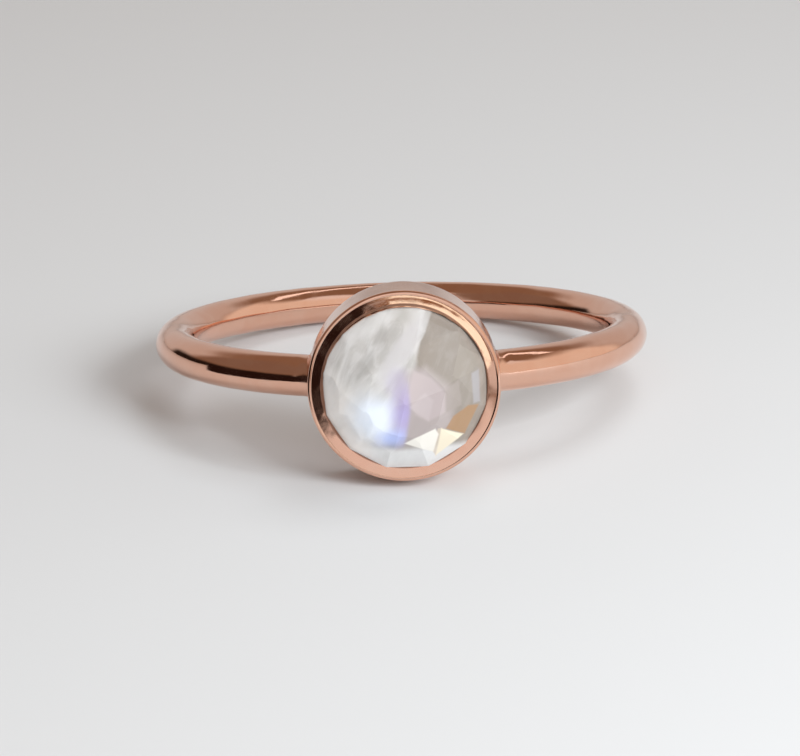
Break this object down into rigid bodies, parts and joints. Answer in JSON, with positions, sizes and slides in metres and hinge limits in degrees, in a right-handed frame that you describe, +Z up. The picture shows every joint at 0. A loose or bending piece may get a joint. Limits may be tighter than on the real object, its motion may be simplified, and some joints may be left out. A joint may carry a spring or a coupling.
{
  "type": "stackable ring",
  "caption": "Slim round-wire finger ring with a round bezel cup holding a rose-cut moonstone, lying on its side.",
  "frame": {"origin": "on the surface that the ring lies on, under the middle of its box", "axes": "+Z up; -Y is the way the stone faces, tipped slightly up; X runs across the stone from side to side"},
  "size_m": [0.02, 0.0226, 0.0075],
  "materials": {
    "rose_gold": "polished rose gold, hand finished",
    "moonstone": "polished facets, milky and translucent with a blue sheen"
  },
  "bodies": {
    "root": {"band_and_bezel": "rose_gold", "moonstone": "moonstone"}
  },
  "joints": []
}
